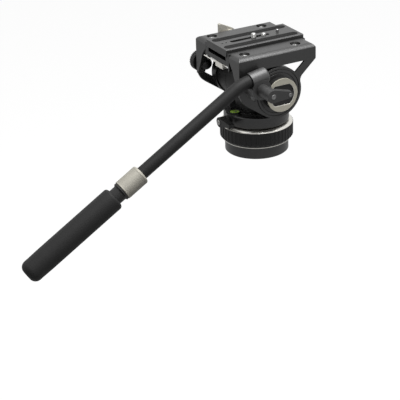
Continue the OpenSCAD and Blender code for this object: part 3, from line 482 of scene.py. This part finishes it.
def socket_heads(name, node, body, places, sizes, height, foot=None, finish="screw_steel"):
    """Cap screws with a chamfered rim and a hexagon socket; each place looks out of the socket.

    A foot is the (radius, length) of the shank that shows below the head."""
    count, edge, points, faces = 48, 0.1, [], []
    for place, radius in zip(places, sizes):
        rim, lead, deep = 0.12 * radius, 0.08 * radius, 0.6 * height
        socket = hexagon(0.52 * radius, count)
        rings = [(-height, radius - edge), (-height + edge, radius), (-rim, radius), (0, radius - rim),
                 (0, [1.08 * r for r in socket]), (-lead, socket), (-deep, socket)]
        if foot:
            shank, reach = foot
            rings = [(-height - reach, shank), (-height, shank)] + rings
        gather(points, faces, *lathe(rings, count, place, False))
    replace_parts(add_piece(name, points, faces, body, finish), node)


def facing(at, out):
    """Frame at a place with Z along the given direction."""
    place = Vector(out).to_track_quat("Z", "Y").to_matrix().to_4x4()
    place.translation = Vector(at)
    return place


def all_socket_heads():
    """Cap screws in the flanges, on the clamp lever and on the two lock levers."""
    top, x, rear, front = 144.2, 41.0, -39.0, 33.5
    flange = [facing((side * x, y, top), (0, 0, 1)) for side in (-1, 1) for y in (rear, front)]
    socket_heads("flange_cap_screws", "frame_screws", "cradle", flange, [5.0] * 4, 3.5,
                 foot=(2.45, 8.3), finish="painted_glint_flange_screws")
    face, y, z, turn, reach = 105.8, -36.2, 110.9, math.radians(-5), 23.3
    lever = [facing((face, y + s * math.cos(turn), z + s * math.sin(turn)), (1, 0, 0)) for s in (0, reach)]
    socket_heads("lever_cap_screws", "clamp_lever_screws", "clamp_lever", lever, [3.2, 2.4], 0.8,
                 finish="dull_screws")
    pan = [facing((1.5, -56.8, 47.0), (0, -1, 0))]
    socket_heads("pan_cap_screw", "pan_lock_screw", "pan_lock", pan, [3.2], 1.2)
    tilt = [facing((-68.8, 0, 92.8), (-1, 0, 0))]
    socket_heads("tilt_cap_screw", "tilt_lock_screw", "tilt_lock", tilt, [4.2], 1.2)


def bubble_level():
    """Domed vial with a reading ring and an air bubble under its cap."""
    place = Matrix.Translation((4.0, -34.0, 0))
    radius, low, rim, dome, steps, count = 5.95, 55.6, 57.5, 0.78, 8, 48
    rings = [(low, radius), (rim, radius)]
    for k in range(1, steps + 1):
        left = 1 - k / steps
        rings.append((rim + dome * (1 - left ** 2), radius * left + 0.02))
    points, faces = lathe(rings, count, place, False)
    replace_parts(add_piece("vial_body", points, faces, "pan_body", "vial"), "bubble_vial")
    ring = [(57.95, 2.5), (58.22, 2.5), (58.22, 2.9), (57.95, 2.9)]
    points, faces = lathe(ring, count, place, True)
    add_piece("vial_ring", points, faces, "pan_body", "black_plastic")
    drop = Matrix.Translation((4.5, -33.2, 0))
    shape = [(58.0, 1.7), (58.2, 1.6), (58.27, 1.1), (58.29, 0.4)]
    points, faces = lathe(shape, count, drop, False)
    add_piece("vial_bubble", points, faces, "pan_body", "bubble")


def index_marks():
    """Painted dots on the turning body and a line on the housing's shoulder."""
    top, shoulder, sunk, thick, dot = 58.5, 56.1, 0.2, 0.05, 0.75
    points, faces = [], []
    for x, y in ((17.8, -27.9), (22.0, -21.4)):
        rings = [(top - sunk, dot), (top + thick, dot)]
        gather(points, faces, *lathe(rings, 20, Matrix.Translation((x, y, 0)), False))
    start, end, half = Vector((32.2, -14.0, 0)), Vector((38.6, -10.8, 0)), 0.35
    across = (end - start).normalized().cross(Vector((0, 0, 1))) * half
    outline = (start - across, end - across, end + across, start + across)
    line = [p + Vector((0, 0, z)) for z in (shoulder - sunk, shoulder + thick) for p in outline]
    gather(points, faces, line, skin(2, len(outline), False))
    add_piece("index_marks", points, faces, "pan_body", "mark_paint", smooth=False)


def dial_window_edge():
    """Bright bead round the edge of the window in the dial's face."""
    middle, radius, half, face = 92.8, 17.1, 13.4, 65.5
    section = ((0.30, 0.04), (-0.30, -0.34), (-0.30, -0.80), (0.30, -0.80))
    steps = 16
    points = []
    for side in (0, math.pi):
        for k in range(steps + 1):
            for out, up in section:
                r, h = radius + out, half + out
                turn = side + math.asin(h / r) * (2 * k / steps - 1)
                points.append((face + up, r * math.cos(turn), middle + r * math.sin(turn)))
    faces = skin(2 * (steps + 1), len(section), True)
    add_piece("dial_window_edge", points, faces, "tilt_dial", "champagne", own="polished")


def knurled_collar():
    """Twist collar with a fine diamond knurl between two plain lands."""
    outer, tube, thread = 12.5, 8.2, 9.15
    start, end, lip, edge, land = 163.0, 194.0, 7.0, 0.8, 1.6
    count, rows, depth = 120, 40, 0.16
    rounding = ((0, 1.8), (0.3, 1.3), (1.5, 0.2), (1.9, 0))
    rings = [(start, tube)] + [(start + down, outer - sunk) for down, sunk in rounding]
    rings.append((start + 2 * land, outer))
    rings += chequered(start + 2 * land + 0.2, end - land - 0.2, rows, count, outer, depth)
    rings += [(end - land, outer), (end - edge, outer), (end, outer - edge), (end, thread),
              (start + lip, thread), (start + lip, tube)]
    points, faces = lathe(rings, count, along_handle(), True)
    piece = add_piece("knurled_collar", points, faces, "collar", "champagne", own="collar_champagne")
    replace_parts(piece, "lock_collar")


def bent_tube():
    """Handle tube from the closed sleeve round its bend to the stop inside the grip."""
    bend, rise = 60.0, math.radians(10.4)
    tangent = bend * math.tan((HANDLE_DROOP - rise) / 2)
    shank, radius, mouth, step, top, bottom, chamfer = 7.5, 8.1, 12.0, 0.5, 32.8, 300.0, 0.8
    count, steps = 56, 24
    points = []

    def ahead(slope):
        return Vector((0, math.cos(slope), math.sin(slope)))

    def across(slope):
        return Vector((0, -math.sin(slope), math.cos(slope)))

    def ring(middle, slope, r):
        for i in range(count):
            turn = 2 * math.pi * i / count
            points.append(middle + r * (math.cos(turn) * Vector((1, 0, 0)) + math.sin(turn) * across(slope)))

    for along, r in ((top, shank), (mouth, shank), (mouth - step, radius)):
        ring(HANDLE_BEND + along * ahead(rise), rise, r)
    centre = HANDLE_BEND + tangent * ahead(rise) - bend * across(rise)
    for k in range(steps + 1):
        slope = rise + (HANDLE_DROOP - rise) * k / steps
        ring(centre + bend * across(slope), slope, radius)
    for along, r in ((bottom - chamfer, radius), (bottom, radius - chamfer)):
        ring(HANDLE_BEND - along * ahead(HANDLE_DROOP), HANDLE_DROOP, r)
    faces = skin(len(points) // count, count, False)
    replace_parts(add_piece("bent_tube", points, faces, "handle", "black_tube"), "handle_tube")


def grip_neck():
    """Stepped neck between collar and grip, on the sleeve that runs down inside the grip."""
    tube, thread, lip, neck, inside = 8.2, 9.1, 11.9, 9.9, 9.3
    top, step, end, deep = 170.4, 194.4, 216.5, 333.0
    edge, roll, steps = 0.3, 1.6, 6
    rings = [(top, tube), (top, thread), (step, thread),
             (step, lip - edge), (step + edge, lip), (step + roll, lip)]
    for k in range(steps + 1):
        share = math.sin(math.pi / 2 * k / steps)
        rings.append((step + roll + edge + roll * share, neck + roll * (1 - share) ** 2 + 0.1))
    rings += [(step + 2 * (roll + edge), neck), (end, neck),
              (end + 0.5, inside), (deep, inside), (deep, tube)]
    points, faces = lathe(rings, 64, along_handle(), True)
    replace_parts(add_piece("grip_neck", points, faces, "grip", "black_tube", own="sleeve_coat"), "grip_sleeve")


def grip_body():
    """Moulded grip with a rolled shoulder, a dimpled middle and a domed end, open towards the neck."""
    start, end, ledge, floor = 206.0, 345.0, 217.5, 333.05
    swell, radius, shoulder, nose, mouth, bore, pole = 14.7, 14.4, 4.0, 9.0, 10.0, 9.35, 0.4
    taper, taper_steps, nose_steps, shoulder_steps = 25.0, 5, 10, 8
    rings = [(end, pole), (end - 0.02, 4.0)]
    for k in range(nose_steps, -1, -1):
        turn = math.radians(80) * k / nose_steps
        rings.append((end - nose + nose * math.sin(turn), radius - nose + nose * math.cos(turn)))
    for k in range(1, taper_steps + 1):
        share = k / taper_steps
        wider = (swell - radius) * (1 - math.cos(math.pi * share)) / 2
        rings.append((end - nose - taper * share, radius + wider))
    count, rows, depth = 104, 72, 0.16
    rings += chequered(end - nose - taper - 2, start + shoulder + 12, rows, count, swell, depth)
    for k in range(shoulder_steps + 1):
        turn = math.pi / 2 * k / shoulder_steps
        rings.append((start + shoulder * (1 - math.sin(turn)), swell - shoulder * (1 - math.cos(turn))))
    rings += [(start, mouth), (ledge, mouth), (ledge, bore), (floor, bore), (floor, pole)]
    points, faces = lathe(rings, count, along_handle(), False)
    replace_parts(add_piece("grip_body", points, faces, "grip", "grip_rubber"), "hand_grip")


def crowned_trim():
    """Bright edge of the drag ring, turned with a slight crown so that it catches the light."""
    inner, outer, shoulder, low, high = 38.05, 46.9, 43.0, 37.2, 39.8
    crown, steps = 0.6, 12
    wide, tall = outer - shoulder, high - low
    chord = math.hypot(wide, tall)
    rings = [(low, inner)]
    for k in range(steps + 1):
        share = k / steps
        rise = 4 * crown * share * (1 - share) / chord
        rings.append((low + tall * share + wide * rise, outer - wide * share + tall * rise))
    rings.append((high, inner))
    points, faces = lathe(rings, 120, Matrix.Identity(4), True)
    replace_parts(add_piece("crowned_trim", points, faces, "drag_ring", "polished"), "drag_ring_trim")


def catch_strip():
    """Thin bright leaf that runs from the thumb tab of the catch along its rod."""
    section = ((-55.35, 126.2), (-54.75, 127.4), (-54.6, 127.25), (-55.1, 126.05))
    points = [(x, y, z) for x in (-34.0, -4.8) for y, z in section]
    faces = skin(2, len(section), False)
    add_piece("catch_strip", points, faces, "release", "polished", smooth=False)


def threaded_screw(name, node, y, top):
    """Camera screw with a cut thread, a domed tip and a flat head below the plate."""
    radius, pitch, depth, plain = 3.175, 1.27, 0.5, 0.9
    head_r, head_top, head_h, edge = 6.9, 144.75, 3.0, 0.4
    count, step = 40, pitch / 8
    head_low = head_top - head_h
    rings = [(head_low, head_r - edge), (head_low + edge, head_r), (head_top - edge, head_r),
             (head_top, head_r - edge), (head_top, radius - depth)]
    height = head_top + step
    while height < top - plain:
        turns = [(height / pitch + i / count) % 1 for i in range(count)]
        rings.append((height, [radius - depth * abs(2 * turn - 1) for turn in turns]))
        height += step
    tip = ((0.75, depth), (0.45, 0.7), (0.1, 1.3), (0, 1.9))
    rings += [(top - below, radius - sunk) for below, sunk in tip]
    points, faces = lathe(rings, count, Matrix.Translation((0, y, 0)), False)
    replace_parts(add_piece(name, points, faces, node, "screw_steel"), node)


def ridged_pads():
    """Two rubber strips with fine ridges along them."""
    reach, radius, top, bottom, offset = 52.45, 4.75, 150.4, 148.9, 15.3
    steps, ridges, depth, steep = 64, 8, 0.28, 2.2
    points, faces = [], []
    for middle in (-offset, offset):
        strip = []
        for k in range(steps + 1):
            across = -math.cos(math.pi * k / steps) if k in (0, 1, steps - 1, steps) else 2 * k / steps - 1
            x = radius * across
            end = reach - radius + math.sqrt(max(0, radius * radius - x * x)) + 0.001
            wave = abs((across + 1) / 2 * ridges % 1 * 2 - 1)
            z = top - depth * (1 - min(1, steep * wave))
            section = ((-end, z), (-end, bottom), (end, bottom), (end, z))
            strip += [(middle + x, y, h) for y, h in section]
        gather(points, faces, strip, skin(steps + 1, 4, False))
    piece = add_piece("ridged_pads", points, faces, "camera_plate", "pad_rubber", smooth=False)
    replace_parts(piece, "plate_pads")


knurled_collar()
bent_tube()
grip_neck()
grip_body()
threaded_screw("main_thread", "camera_screw", -2.0, 155.6)
threaded_screw("second_thread", "second_screw", 12.6, 153.1)
ridged_pads()
crowned_trim()
catch_strip()
all_socket_heads()
bubble_level()
index_marks()
dial_window_edge()

bpy.context.scene.view_settings.view_transform = "Standard"
